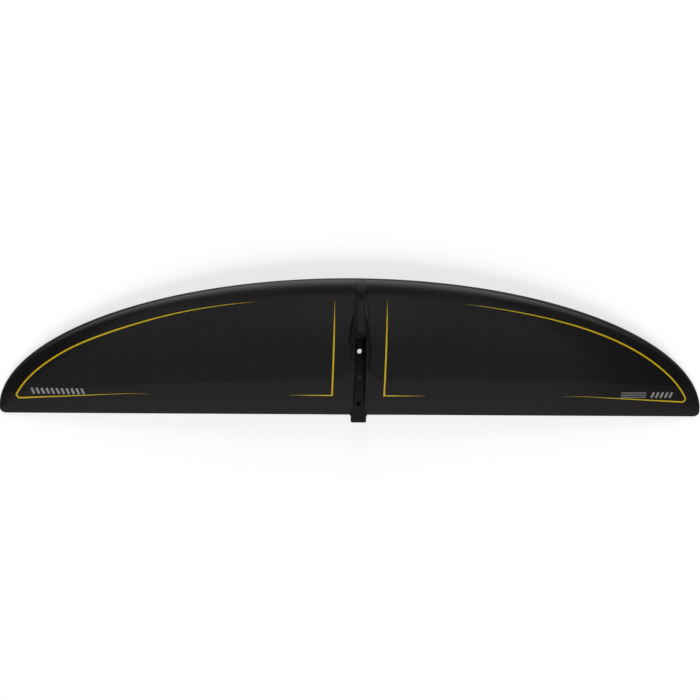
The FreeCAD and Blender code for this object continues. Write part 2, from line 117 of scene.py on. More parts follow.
# Painted lines and tip marks
FILM_RISE = 0.16
FILM_SINK = 0.05
POINT_HALF_WIDTH = 0.06
LINE_HALF_WIDTH = 1.075
LINE_START_X = 140.0
LINE_FULL_X = 330.0
LINE_TIP_X = 455.6
LINE_REACH = 462.5
LINE_BACK_Y = 51.4
LINE_DEPTH = 158.7
SWELL_X = 325.0
SWELL_LENGTH = 75.0
TUCK_X = 370.0
TUCK_LENGTH = 60.0
TIP_TURN = 5.0
BASE_LINE_Y = 23.9
BASE_STEP = 0.3
BASE_BEND_X = 312.0
BASE_LEAN = 0.056
BASE_START_X = 448.0
BASE_END_X = 280.0
BASE_HALF_WIDTH = 0.975
CORNER_LINE_X = 35.2
CORNER_LINE_SHIFT = 1.5
CORNER_LINE_LEAN = 0.010
CORNER_LINE_START_Y = -105.0
CORNER_LINE_GROWTH = 80.0
FOOT_HALF_WIDTH = 0.75
FOOT_LENGTH = 57.0
MARK_Y = 22.0
DASH_X = 434.0
DASH_SPACING = 6.6
DASH_SLANT = 1.8
DASH_HALF_LENGTH = 3.8
DASH_HALF_WIDTH = 1.5
LEFT_DASHES = 11
RIGHT_DASHES = 5
FINE_LINE_ENDS = (362.0, 398.0)
FINE_LINE_OFFSETS = (-3.0, 0.0, 3.0)
FINE_LINE_HALF_WIDTH = 0.5


# Wing shape, by the same formulas as the CAD ---------------------------------------------------------

def smooth_step(value):
    value = np.clip(value, 0, 1)
    return value * value * (3 - 2 * value)


def leading_edge(x):
    share = np.abs(x) / HALF_SPAN
    depth = np.clip(1 - share**2, 0, None) ** LEAD_POWER
    return TRAIL_Y - TIP_LEAD_CHORD - (ROOT_CHORD - TIP_LEAD_CHORD) * depth


def trailing_edge(x):
    share = np.abs(x) / HALF_SPAN
    into_corner = np.clip((np.abs(x) - HALF_SPAN + TIP_CORNER) / TIP_CORNER, 0, 1)
    rise = TIP_CORNER * (1 - (1 - into_corner**2.6) ** (1 / 2.6))
    return TRAIL_Y + TIP_SWEEP * share**2 - rise


def edge_height(x):
    return EDGE_Z - DROOP_RADIUS + np.sqrt(DROOP_RADIUS**2 - x**2)


def fade_across(x, half_width):
    """1 along the middle, falling smoothly to 0 at the half width."""
    return 1 - smooth_step((np.abs(x) / half_width - 0.3) / 0.7)


def hump(x, y):
    """Height of the fairing: a quarter wave up from the nose, then a long fade aft."""
    rise = np.sin(math.pi / 2 * np.clip((y - NOSE_Y) / (HUMP_END_Y - NOSE_Y), 0, 1))
    fade = np.clip((y - HUMP_END_Y) / (HUMP_FOOT_Y - HUMP_END_Y), 0, 1)
    height = np.where(y < HUMP_END_Y, rise, (1 - fade) ** 5 * (1 + 5 * fade))
    half_width = HUMP_HALF_WIDTH * (1 + smooth_step((y - NOSE_Y) / -NOSE_Y))
    return HUMP_HEIGHT * height * fade_across(x, half_width)


def keel(x, y):
    """Depth of the flat pad below the pocket."""
    return KEEL_DEPTH * smooth_step((y - KEEL_START_Y) / KEEL_LENGTH) * fade_across(x, KEEL_HALF_WIDTH)


def section(x, share):
    """y, upper, middle and lower heights of the wing at span stations x and chord shares."""
    chord = trailing_edge(x) - leading_edge(x)
    scale = chord / ROOT_CHORD
    y = leading_edge(x) + chord * share
    middle = edge_height(x) + ROOT_CAMBER * scale * 4 * share * (1 - share)
    half = ROOT_THICKNESS / 2 * PEAK_FACTOR * scale * np.sqrt(share) * (1 - share)
    half = half + TRAIL_THICKNESS / 2 * scale**0.35 * share
    return y, middle + half + hump(x, y), middle, middle - half - keel(x, y)


def upper_height(x, y):
    chord = trailing_edge(x) - leading_edge(x)
    return section(x, np.clip((y - leading_edge(x)) / chord, 0, 1))[1]


# Mesh helpers -----------------------------------------------------------------------------------------

def new_object(name, points, faces, smooth_angle=35.0):
    """A mesh object from millimetre points, smooth except across sharp edges."""
    mesh = bpy.data.meshes.new(name)
    mesh.from_pydata([tuple(p) for p in np.asarray(points, float) * MM], [], faces)
    mesh.validate()
    thing = bpy.data.objects.new(name, mesh)
    bpy.context.scene.collection.objects.link(thing)
    shade(thing, smooth_angle)
    return thing


def shade(thing, smooth_angle):
    """Smooth shading that stops at edges sharper than the angle."""
    mesh = thing.data
    mesh.polygons.foreach_set("use_smooth", [True] * len(mesh.polygons))
    mesh.set_sharp_from_angle(angle=math.radians(smooth_angle))
    mesh.update()


def face_outward(thing, weld=None):
    """Turns all faces outward, after welding close points if a distance is given."""
    mesh = bmesh.new()
    mesh.from_mesh(thing.data)
    if weld:
        bmesh.ops.remove_doubles(mesh, verts=mesh.verts, dist=weld)
    bmesh.ops.recalc_face_normals(mesh, faces=mesh.faces)
    mesh.to_mesh(thing.data)
    mesh.free()


def grid_faces(rows, columns, offset=0, flip=False):
    """Four-sided faces over a grid of points."""
    faces = []
    for row in range(rows - 1):
        for column in range(columns - 1):
            a = offset + row * columns + column
            face = (a, a + 1, a + columns + 1, a + columns)
            faces.append(face[::-1] if flip else face)
    return faces


def rim_faces(rows, columns):
    """Faces that join the rims of two equal grids, the second one listed after the first."""
    rim = [row * columns for row in range(rows)]
    rim += [(rows - 1) * columns + column for column in range(1, columns)]
    rim += [row * columns + columns - 1 for row in range(rows - 2, -1, -1)]
    rim += [column for column in range(columns - 2, 0, -1)]
    count = rows * columns
    return [(a, b, b + count, a + count) for a, b in zip(rim, rim[1:] + rim[:1])]


def cut(target, cutter):
    """Cuts one closed mesh away from another and removes the cutter."""
    modifier = target.modifiers.new("cut", "BOOLEAN")
    modifier.operation = "DIFFERENCE"
    modifier.solver = "EXACT"
    modifier.object = cutter
    graph = bpy.context.evaluated_depsgraph_get()
    result = bpy.data.meshes.new_from_object(target.evaluated_get(graph))
    target.modifiers.clear()
    old = target.data
    target.data = result
    result.name = old.name + "_cut"
    bpy.data.meshes.remove(old)
    bpy.data.objects.remove(cutter)


def loft(name, rings):
    """A closed form through rings of points, capped at both ends."""
    count = len(rings[0])
    points = [point for ring in rings for point in ring]
    faces = []
    for level in range(len(rings) - 1):
        for index in range(count):
            after = (index + 1) % count
            a = level * count
            faces.append((a + index, a + after, a + count + after, a + count + index))
    last = (len(rings) - 1) * count
    faces.append(tuple(reversed(range(count))))
    faces.append(tuple(last + index for index in range(count)))
    thing = new_object(name, points, faces)
    face_outward(thing)
    return thing


def join_objects(keeper, others):
    """Joins the others into the first object."""
    for thing in bpy.context.selected_objects:
        thing.select_set(False)
    for thing in [keeper] + others:
        thing.select_set(True)
    bpy.context.view_layer.objects.active = keeper
    bpy.ops.object.join()
    keeper.select_set(False)
    return keeper


# The two skins ----------------------------------------------------------------------------------------

def span_stations():
    """Places along the span: close together at the pocket and towards the tips."""
    pocket_end = 24.0
    tip_start = 440.0
    tip_gap = 0.05
    centre = np.linspace(0, pocket_end, 31)[:-1]
    middle = np.linspace(pocket_end, tip_start, 171)[:-1]
    tip_length = HALF_SPAN - tip_gap - tip_start
    tip = tip_start + tip_length * np.sin(np.linspace(0, math.pi / 2, 40))
    half = np.concatenate([centre, middle, tip])
    return np.concatenate([-half[:0:-1], half])


def make_skin(name, upper):
    """One skin as a closed shell: outside face, inside face and the bonding lands between them."""
    chord_steps = 97
    shares = (1 - np.cos(math.pi * np.linspace(0, 1, chord_steps))) / 2
    x, share = np.meshgrid(span_stations(), shares, indexing="ij")
    y, high, middle, low = section(x, share)
    outer = high if upper else low
    inner = outer + (-SKIN if upper else SKIN)
    bonded = (y < leading_edge(x) + LEAD_LAND) | (y > trailing_edge(x) - TRAIL_LAND)
    bonded |= np.abs(x) > INNER_END
    inner = np.where(bonded, middle, inner)
    rows, columns = x.shape
    outside = np.stack([x, y, outer], -1).reshape(-1, 3)
    inside = np.stack([x, y, inner], -1).reshape(-1, 3)
    faces = grid_faces(rows, columns, 0, not upper)
    faces = faces + grid_faces(rows, columns, rows * columns, upper)
    for face in rim_faces(rows, columns):
        faces.append(face if upper else face[::-1])
    thing = new_object(name, np.vstack([outside, inside]), faces)
    face_outward(thing, weld=1e-7)
    return thing


def floor_rise(distance):
    """Height of the rounded floor edge at a distance in from a pocket wall."""
    inset = np.clip(SLOT_ROUND - distance, 0, SLOT_ROUND)
    return SLOT_ROUND - np.sqrt(SLOT_ROUND**2 - inset**2)


def slot_cutter():
    """The pocket's space, with a rounded edge round its floor."""
    starts = [SLOT_ROUND * share for share in (0, 0.06, 0.16, 0.32, 0.52, 0.76, 1)]
    insets = [SLOT_ROUND * share for share in (0, 0.04, 0.14, 0.30, 0.50, 0.74, 1)]
    rings = []
    for y in [SLOT_FRONT_Y + start for start in starts] + [0.0, SLOT_REAR_Y]:
        share = (y - SLOT_FRONT_Y) / (SLOT_REAR_Y - SLOT_FRONT_Y)
        half = SLOT_FRONT_HALF + (SLOT_REAR_HALF - SLOT_FRONT_HALF) * share
        ring = [(-half, y, ABOVE_WING)]
        across = [-half + inset for inset in insets] + [half - inset for inset in reversed(insets)]
        for x in across:
            z = max(float(floor_rise(half - abs(x))), float(floor_rise(y - SLOT_FRONT_Y)))
            ring.append((x, y, z))
        ring.append((half, y, ABOVE_WING))
        rings.append(ring)
    return loft("slot_cutter", rings)


def land_cutter():
    """Clears the lands beside the pocket and the slanted end of the fairing."""
    profile = [
        (LAND_FRONT_Y, LAND_HEIGHT),
        (LAND_REAR_Y, LAND_HEIGHT),
        (LAND_REAR_Y, LAND_HEIGHT + LAND_CLIMB),
        (LAND_FRONT_Y - LAND_LEAN, LAND_HEIGHT + LAND_CLIMB),
    ]
    rings = [[(x, y, z) for y, z in profile] for x in (-LAND_HALF, LAND_HALF)]
    return loft("land_cutter", rings)


def lug_cutter():
    """Makes room for the tail lug and its narrower buried root."""
    rear = TRAIL_Y + LUG_LENGTH
    left = [
        (LUG_ROOT_HALF, LUG_FRONT_Y),
        (LUG_ROOT_HALF, LUG_SHOULDER_Y),
        (LUG_HALF, LUG_SHOULDER_Y),
        (LUG_HALF, rear),
    ]
    outline = left + [(-x, y) for x, y in reversed(left)]
    rings = [[(x, y, z) for x, y in outline] for z in (-LUG_THICKNESS, 0.0)]
    return loft("lug_cutter", rings)


def screw_cutter(y):
    """A countersunk hole from below."""
    under = float(section(np.float64(0), np.float64((y - NOSE_Y) / ROOT_CHORD))[3])
    levels = [
        (under - 1.0, HEAD_RADIUS + 1.0),
        (under + HEAD_RADIUS - HOLE_RADIUS, HOLE_RADIUS),
        (ABOVE_WING - 10.0, HOLE_RADIUS),
    ]
    turn = [2 * math.pi * step / 64 for step in range(64)]
    rings = []
    for z, radius in levels:
        rings.append([(radius * math.cos(a), y + radius * math.sin(a), z) for a in turn])
    return loft("screw_cutter", rings)


def add_cloth_map(thing, upper):
    """Stores where each vertex lies on the cloth: along the span, and along the section's arc."""
    nose_stretch = 2.6
    points = np.empty(len(thing.data.vertices) * 3, np.float32)
    thing.data.vertices.foreach_get("co", points)
    points = points.reshape(-1, 3).astype(float) / MM
    x = np.clip(points[:, 0], 0.1 - HALF_SPAN, HALF_SPAN - 0.1)
    front = leading_edge(x)
    chord = trailing_edge(x) - front
    share = np.clip((points[:, 1] - front) / chord, 0, 1)
    nose_arc = nose_stretch * np.sqrt(share * chord)
    arc = np.sqrt((share * chord) ** 2 + nose_arc**2) * (1 if upper else -1)
    cloth = np.stack([points[:, 0], front + arc, np.zeros_like(arc)], -1)
    attribute = thing.data.attributes.new("cloth", "FLOAT_VECTOR", "POINT")
    attribute.data.foreach_set("vector", cloth.astype(np.float32).ravel())


# Painted films ----------------------------------------------------------------------------------------

def make_film(name, points, half_widths):
    """A thin painted ribbon on the upper surface along a plan path."""
    points = np.asarray(points, float)
    half_widths = np.asarray(half_widths, float)
    along = np.gradient(points, axis=0)
    along /= np.linalg.norm(along, axis=1)[:, None]
    normal = np.stack([-along[:, 1], along[:, 0]], -1)
    lines = []
    for side in (-1.0, -0.5, 0.0, 0.5, 1.0):
        place = points + normal * (side * half_widths)[:, None]
        z = upper_height(place[:, 0], place[:, 1])
        lines.append(np.column_stack([place, z]))
    top = np.stack(lines, 1) + np.array([0, 0, FILM_RISE])
    bottom = np.stack(lines, 1) - np.array([0, 0, FILM_SINK])
    rows, columns = top.shape[:2]
    faces = grid_faces(rows, columns) + grid_faces(rows, columns, rows * columns, True)
    faces = faces + rim_faces(rows, columns)
    thing = new_object(name, np.vstack([top.reshape(-1, 3), bottom.reshape(-1, 3)]), faces)
    face_outward(thing)
    return thing


def outline_y(x, side):
    """Y of the line inside the leading edge; it lies a little further aft on the left."""
    swell = (0.7 + 1.5 * side) * np.exp(-(((x - SWELL_X) / SWELL_LENGTH) ** 2))
    tuck = smooth_step((x - TUCK_X) / TUCK_LENGTH)
    return LINE_BACK_Y - LINE_DEPTH * (1 - (x / LINE_REACH) ** 2.17) ** 0.53 + swell + tuck


def base_line_y(x):
    return BASE_LINE_Y + BASE_STEP + BASE_LEAN * np.clip(x - BASE_BEND_X, 0, None)


def make_outline(name, side):
    """The long line inside the leading edge, round the tip and back along the trailing edge."""
    shares = np.linspace(0, 1, 260)
    arc_x = LINE_START_X + (LINE_TIP_X - LINE_START_X) * (1 - (1 - shares) ** 2)
    grown = np.clip((arc_x - LINE_START_X) / (LINE_FULL_X - LINE_START_X), 0, 1) ** 0.7
    arc = np.column_stack([arc_x, outline_y(arc_x, side), LINE_HALF_WIDTH * grown])
    corner_x = LINE_TIP_X - TIP_TURN
    corner_y = base_line_y(corner_x) - TIP_TURN
    turn = np.radians(np.linspace(8, 90, 12))
    corner = np.column_stack([
        corner_x + TIP_TURN * np.cos(turn),
        corner_y + TIP_TURN * np.sin(turn),
        LINE_HALF_WIDTH + (BASE_HALF_WIDTH - LINE_HALF_WIDTH) * turn / turn[-1],
    ])
    base_x = np.linspace(BASE_START_X, BASE_END_X, 90)
    narrowing = np.clip((base_x - BASE_END_X) / (corner_x - BASE_END_X), 0, 1) ** 0.9
    base = np.column_stack([base_x, base_line_y(base_x), BASE_HALF_WIDTH * narrowing])
    line = np.vstack([arc, corner, base])
    return make_film(name, line[:, :2] * (side, 1.0), np.maximum(POINT_HALF_WIDTH, line[:, 2]))


def make_corner(name, side):
    """The upright line beside the fairing and the short foot that turns outboard from it."""
    foot_x = side * CORNER_LINE_X + CORNER_LINE_SHIFT
    along = np.linspace(CORNER_LINE_START_Y, BASE_LINE_Y + FOOT_HALF_WIDTH, 90)
    growth = 1 - np.clip(1 - (along - CORNER_LINE_START_Y) / CORNER_LINE_GROWTH, 0, 1) ** 2.4
    widths = np.maximum(POINT_HALF_WIDTH, LINE_HALF_WIDTH * growth)
    line_x = foot_x - CORNER_LINE_LEAN * (BASE_LINE_Y - along)
    upright = make_film(name, np.column_stack([line_x, along]), widths)
    reach = np.linspace(LINE_HALF_WIDTH, FOOT_LENGTH, 40)
    widths = np.maximum(POINT_HALF_WIDTH, FOOT_HALF_WIDTH * (1 - reach / FOOT_LENGTH) ** 0.75)
    path = np.column_stack([foot_x + side * reach, np.full_like(reach, BASE_LINE_Y)])
    return join_objects(upright, [make_film(name + "_foot", path, widths)])


def straight_path(start, end, spacing):
    """Points at even spacing from one place to another."""
    count = int(math.dist(start, end) / spacing) + 2
    return np.linspace(start, end, count)


def make_tip_mark(name, side):
    """A plain row of slanted dashes, ending in three fine lines on the right."""
    parts = []
    for index in range(LEFT_DASHES if side > 0 else RIGHT_DASHES):
        x = DASH_X - DASH_SPACING * index
        start = (side * (x - DASH_SLANT), MARK_Y + DASH_HALF_LENGTH)
        end = (side * (x + DASH_SLANT), MARK_Y - DASH_HALF_LENGTH)
        path = straight_path(start, end, 1.0)
        parts.append(make_film(f"{name}_{index}", path, [DASH_HALF_WIDTH] * len(path)))
    if side < 0:
        for index, offset in enumerate(FINE_LINE_OFFSETS):
            start, end = [(side * x, MARK_Y + offset) for x in FINE_LINE_ENDS]
            path = straight_path(start, end, 1.5)
            parts.append(make_film(f"{name}_line{index}", path, [FINE_LINE_HALF_WIDTH] * len(path)))
    keeper = join_objects(parts[0], parts[1:])
    keeper.name = name
    return keeper


# Materials --------------------------------------------------------------------------------------------

class Nodes:
    """Builds a node material with few words. Places and lengths are in millimetres."""

    def __init__(self, name):
        self.material = bpy.data.materials.new(name)
        self.material.use_nodes = True
        self.tree = self.material.node_tree
        self.surface = self.tree.nodes["Principled BSDF"]

    def value(self, socket, given):
        if isinstance(given, bpy.types.NodeSocket):
            self.tree.links.new(given, socket)
        elif given is not None:
            socket.default_value = given

    def add(self, kind, outlet=0, settings=None, **inputs):
        node = self.tree.nodes.new(kind)
        for name, setting in (settings or {}).items():
            setattr(node, name, setting)
        for name, given in inputs.items():
            key = int(name[2:]) if name.startswith("in") else name.replace("_", " ")
            self.value(node.inputs[key], given)
        return node.outputs[outlet]

    def math(self, operation, first, second=None, third=None):
        settings = {"operation": operation}
        return self.add("ShaderNodeMath", 0, settings, in0=first, in1=second, in2=third)

    def plus(self, first, second):
        return self.math("ADD", first, second)

    def minus(self, first, second):
        return self.math("SUBTRACT", first, second)

    def times(self, first, *others):
        for other in others:
            first = self.math("MULTIPLY", first, other)
        return first

    def over(self, first, second):
        return self.math("DIVIDE", first, second)

    def larger(self, first, second):
        return self.math("MAXIMUM", first, second)

    def smaller(self, first, second):
        return self.math("MINIMUM", first, second)

    def size(self, given):
        return self.math("ABSOLUTE", given)

    def slope(self, given, rate, start):
        """The given number times a rate, plus a start value."""
        return self.math("MULTIPLY_ADD", given, rate, start)

    def blend(self, share, first, second):
        """A number between two others."""
        return self.add("ShaderNodeMix", 0, {"data_type": "FLOAT"}, in0=share, in2=first, in3=second)

    def mix(self, share, first, second):
        """A colour between two others."""
        return self.add("ShaderNodeMix", 2, {"data_type": "RGBA"}, in0=share, in6=first, in7=second)

    def scale(self, colour, amount):
        settings = {"operation": "SCALE"}
        return self.add("ShaderNodeVectorMath", 0, settings, in0=colour, Scale=amount)

    def step(self, given, low, high):
        """Rises smoothly from 0 to 1 as the given number goes from low to high."""
        settings = {"interpolation_type": "SMOOTHSTEP"}
        return self.add("ShaderNodeMapRange", 0, settings, Value=given, From_Min=low, From_Max=high)

    def noise(self, place, scale, detail=2.0, roughness=0.5):
        inputs = {"Vector": place, "Scale": scale, "Detail": detail, "Roughness": roughness}
        return self.add("ShaderNodeTexNoise", 0, None, **inputs)

    def cells(self, place, settings=None):
        """A number that is constant over each cell of a broken pattern."""
        tint = self.add("ShaderNodeTexVoronoi", 1, settings, Vector=place, Scale=1.0)
        return self.add("ShaderNodeSeparateColor", 0, None, in0=tint)

    def object_place(self):
        """Position in millimetres."""
        return self.scale(self.add("ShaderNodeTexCoord", 3), 1 / MM)

    def split(self, place):
        node = self.tree.nodes.new("ShaderNodeSeparateXYZ")
        self.value(node.inputs[0], place)
        return node.outputs[0], node.outputs[1], node.outputs[2]

    def combine(self, x, y, z=0.0):
        return self.add("ShaderNodeCombineXYZ", 0, None, in0=x, in1=y, in2=z)

    def stretched(self, place, x_rate, y_rate, z_rate):
        """The place scaled by its own rate along each axis."""
        x, y, z = self.split(place)
        return self.combine(self.times(x, x_rate), self.times(y, y_rate), self.times(z, z_rate))

    def bump(self, height, distance, strength=1.0):
        inputs = {"Height": height, "Distance": distance, "Strength": strength}
        return self.add("ShaderNodeBump", 0, None, **inputs)

    def finish(self, **inputs):
        for name, given in inputs.items():
            self.value(self.surface.inputs[name.replace("_", " ")], given)
        return self.material


def grey(level):
    return (level, level, level, 1.0)


# Colours, as linear red, green and blue
# The warp tone is lighter than the weft tone: painted sheen, for how the two fibre directions of one
# cloth catch the light.
WEFT_TONE = (0.0104, 0.0108, 0.0103, 1)
WARP_TONE = (0.0146, 0.0151, 0.0145, 1)
FRONT_TONE = (0.0262, 0.0240, 0.0254)
NEAR_BAND_TONE = (0.0135, 0.0122, 0.0134)
AFT_TONE = (0.0218, 0.0190, 0.0211)
# The nose tone is painted reflection: the bright light ahead seen in the rounded leading edge.
NOSE_REFLECTION_TONE = (0.0340, 0.0320, 0.0365)
LAMINATE_TONE = (0.0120, 0.0108, 0.0119)
LUG_TONE = (0.0200, 0.0174, 0.0194)
FIBRE_TONE = (0.030, 0.030, 0.033)
# The pit colour is darker than the wall colour: painted shade in the hollows of the foam cells.
FOAM_PIT = (0.50, 0.46, 0.35, 1)
FOAM_WALL = (0.72, 0.68, 0.56, 1)
RESIN_TONE = (0.105, 0.102, 0.098)
YELLOW_DEEP = (0.90, 0.63, 0.001, 1)
YELLOW_PALE = (0.96, 0.70, 0.003, 1)

# Layout of the cloth and of the painted reflection band round the leading edge
TOW = 2.0
LEAD_BAND_ROOT = 12.0
LEAD_BAND_TIP = 2.0
NOTCH_HALF_WIDTH = 9.0
NOTCH_DEPTH = 10.0
AFT_SEAM_Y = 1.7
AFT_SEAM_MIDDLE_Y = -8.0


def weave(nodes, place, tow):
    """Which tow lies on top of a 2x2 twill, with its rounded height and its own number."""
    x, y, _ = nodes.split(place)
    across = nodes.over(x, tow)
    along = nodes.over(y, tow)
    column = nodes.math("FLOOR", across)
    row = nodes.math("FLOOR", along)
    turn = nodes.math("FLOORED_MODULO", nodes.minus(column, row), 4.0)
    warp_on_top = nodes.math("LESS_THAN", turn, 2.0)
    warp_round = nodes.size(nodes.minus(nodes.math("FRACT", across), 0.5))
    weft_round = nodes.size(nodes.minus(nodes.math("FRACT", along), 0.5))
    offset = nodes.blend(warp_on_top, weft_round, warp_round)
    crown = nodes.minus(1.0, nodes.times(nodes.math("POWER", offset, 2.0), 4.0))
    cell = nodes.combine(column, row, nodes.times(warp_on_top, 7.0))
    return warp_on_top, crown, cell


def cloth(nodes, place):
    """The twill over the wing: warp mask, tow crown, a tone for each tow and fine strands."""
    on_cloth = nodes.add("ShaderNodeAttribute", 1, {"attribute_name": "cloth"})
    wander = nodes.noise(nodes.scale(place, 0.02), 1.0, 2.0)
    drift = nodes.times(nodes.minus(wander, 0.5), 1.6)
    x, y, _ = nodes.split(on_cloth)
    moved = nodes.combine(nodes.plus(x, drift), nodes.plus(y, drift))
    warp, crown, cell = weave(nodes, moved, TOW)
    tow_tone = nodes.add("ShaderNodeTexWhiteNoise", 0, {"noise_dimensions": "3D"}, Vector=cell)
    warp_strands = nodes.noise(nodes.stretched(on_cloth, 9.0, 0.5, 0.0), 1.0)
    weft_strands = nodes.noise(nodes.stretched(on_cloth, 0.5, 9.0, 0.0), 1.0)
    strands = nodes.blend(warp, weft_strands, warp_strands)
    return warp, crown, tow_tone, strands


def depth_behind_nose(nodes, reach, y):
    """Distance aft of the leading edge."""
    share = nodes.over(reach, HALF_SPAN)
    inside = nodes.larger(nodes.minus(1.0, nodes.math("POWER", share, 2.0)), 0.0)
    lead = nodes.math("POWER", inside, LEAD_POWER)
    lead = nodes.slope(lead, TIP_LEAD_CHORD - ROOT_CHORD, TRAIL_Y - TIP_LEAD_CHORD)
    return nodes.minus(y, lead)


def aft_band_mask(nodes, x, y, reach):
    """1 aft of the cloth joint across the wing, which steps forward beside the pocket."""
    seam_y = nodes.slope(nodes.math("POWER", reach, 2.0), 0.000075, AFT_SEAM_Y)
    seam_y = nodes.slope(x, 0.014, seam_y)
    wobble = nodes.noise(nodes.combine(nodes.times(x, 0.05), 0.0), 1.0, 2.0)
    seam_y = nodes.slope(nodes.minus(wobble, 0.5), 1.4, seam_y)
    seam_y = nodes.blend(nodes.step(reach, 23.0, 11.0), seam_y, AFT_SEAM_MIDDLE_Y)
    return nodes.step(y, nodes.minus(seam_y, 0.3), nodes.plus(seam_y, 0.3))


def lead_band_depths(nodes, x, y, reach):
    """How far aft the painted reflection band round the leading edge goes: plainly, and with notch and
    fray.
    """
    notch = nodes.larger(nodes.minus(1.0, nodes.over(reach, NOTCH_HALF_WIDTH)), 0.0)
    plain = nodes.plus(LEAD_BAND_TIP, nodes.times(nodes.step(reach, 350.0, 120.0), LEAD_BAND_ROOT))
    fray = nodes.noise(nodes.combine(nodes.times(x, 0.06), nodes.times(y, 0.5)), 1.0, 3.0)
    full = nodes.plus(plain, nodes.times(notch, NOTCH_DEPTH))
    full = nodes.plus(full, nodes.times(nodes.minus(fray, 0.5), 3.0))
    return plain, full


def painted_flank_shade(nodes, x, y):
    """Painted shade in two strips along the sides of the fairing, where its flanks turn away from the
    light.
    """
    spread = nodes.slope(nodes.plus(y, 80.0), 0.135, 9.0)
    beside = nodes.minus(nodes.size(nodes.minus(x, 2.4)), spread)
    flank_shade = nodes.step(nodes.size(beside), 2.3, 0.5)
    return nodes.times(flank_shade, nodes.step(y, -89.0, -80.0), nodes.step(y, -38.0, -52.0))


def dark_places(nodes, x, y, reach, depth, past_band):
    """The dark line along the back of the light band, the painted shade beside the fairing and the dull
    patch on the fairing's nose.
    """
    # A dark line along the back of the light band round the leading edge, stronger at the middle.
    band_back_line = nodes.step(nodes.size(nodes.minus(past_band, 1.4)), 1.7, 0.3)
    band_back_line = nodes.times(band_back_line, nodes.step(reach, 150.0, 20.0))
    band_back_strength = nodes.slope(nodes.step(reach, 10.0, 7.0), 0.48, 0.42)
    patch = nodes.times(nodes.step(reach, 9.5, 5.5), nodes.step(depth, 25.0, 15.0))
    patch = nodes.times(patch, nodes.step(depth, 1.5, 8.0))
    # The strips beside the fairing are painted shade.
    dark = nodes.larger(nodes.times(band_back_line, band_back_strength), nodes.times(painted_flank_shade(nodes, x, y), 0.88))
    return nodes.larger(dark, nodes.times(patch, 0.6))


def panel_colour(nodes, warp, cloth_tone, reach, past_band):
    """The twill between the two bands, a little paler in a zone behind the painted reflection band at
    the leading edge.
    """
    # Warp tows are painted lighter than weft tows: painted sheen.
    panel = nodes.scale(nodes.mix(warp, WEFT_TONE, WARP_TONE), cloth_tone)
    front_zone = nodes.times(nodes.step(past_band, 2.0, 12.0), nodes.step(past_band, 86.0, 28.0))
    front_zone = nodes.times(front_zone, nodes.step(reach, 440.0, 250.0))
    front = nodes.scale(FRONT_TONE, nodes.slope(cloth_tone, 0.7, 0.3))
    front = nodes.scale(front, nodes.slope(nodes.step(reach, 120.0, 30.0), 0.22, 1.0))
    near_band = nodes.scale(NEAR_BAND_TONE, cloth_tone)
    colour = nodes.mix(nodes.step(past_band, 30.0, 8.0), panel, near_band)
    return nodes.mix(front_zone, colour, front)


def nose_reflection_colour(nodes, x, depth, plain_depth):
    """The lighter, streaky band round the leading edge: painted reflection of the bright light ahead,
    darker further aft.
    """
    streaks = nodes.noise(nodes.combine(nodes.times(x, 0.02), nodes.times(depth, 1.1)), 1.0, 4.0)
    tone = nodes.slope(nodes.step(streaks, 0.32, 0.68), 0.8, 0.5)
    fade = nodes.slope(nodes.smaller(nodes.over(depth, plain_depth), 1.15), -0.58, 1.0)
    return nodes.scale(NOSE_REFLECTION_TONE, nodes.times(tone, fade))


def twill_carbon(name):
    """Gloss-coated twill carbon, with the bands and zones of the wing's outer face; the light band
    round the leading edge is painted reflection.
    """
    nodes = Nodes(name)
    place = nodes.object_place()
    x, y, _ = nodes.split(place)
    reach = nodes.size(x)
    warp, crown, tow_tone, strands = cloth(nodes, place)
    depth = depth_behind_nose(nodes, reach, y)
    aft_band = aft_band_mask(nodes, x, y, reach)
    plain_depth, band_depth = lead_band_depths(nodes, x, y, reach)
    # Painted reflection: a lighter band round the leading edge, reaching further aft in a V over the
    # fairing.
    lead_reflection_band = nodes.step(depth, nodes.plus(band_depth, 1.2), nodes.minus(band_depth, 1.2))
    past_band = nodes.minus(depth, band_depth)
    dark = dark_places(nodes, x, y, reach, depth, past_band)

    # The tows' rounded crowns are painted lighter: painted highlight on the tops of the tows.
    cloth_tone = nodes.times(nodes.slope(tow_tone, 0.30, 0.85), nodes.slope(crown, 0.30, 0.75))
    cloth_tone = nodes.times(cloth_tone, nodes.slope(strands, 0.7, 0.65))
    panel = panel_colour(nodes, warp, cloth_tone, reach, past_band)
    aft = nodes.scale(AFT_TONE, nodes.slope(strands, 0.4, 0.8))
    colour = nodes.mix(aft_band, panel, aft)
    colour = nodes.mix(lead_reflection_band, colour, nose_reflection_colour(nodes, x, depth, plain_depth))
    colour = nodes.scale(colour, nodes.minus(1.0, dark))

    rough = nodes.slope(strands, 0.22, nodes.slope(warp, 0.10, 0.30))
    rough = nodes.blend(nodes.larger(aft_band, lead_reflection_band), rough, 0.42)
    height = nodes.slope(crown, 0.5, nodes.times(strands, 0.3))
    height = nodes.blend(aft_band, height, nodes.times(strands, 0.4))
    ripple = nodes.noise(nodes.scale(place, 0.03), 1.0, 3.0)
    print_through = nodes.slope(crown, 0.0015, ripple)
    return nodes.finish(
        Base_Color=colour,
        Roughness=rough,
        Normal=nodes.bump(height, 0.00008, 0.6),
        Metallic=0.0,
        Anisotropic=0.6,
        Anisotropic_Rotation=nodes.times(warp, 0.25),
        Specular_IOR_Level=0.10,
        Coat_Weight=nodes.slope(dark, -0.8, 1.0),
        Coat_Roughness=0.035,
        Coat_IOR=1.5,
        Coat_Normal=nodes.bump(print_through, 0.00025, 0.35),
    )


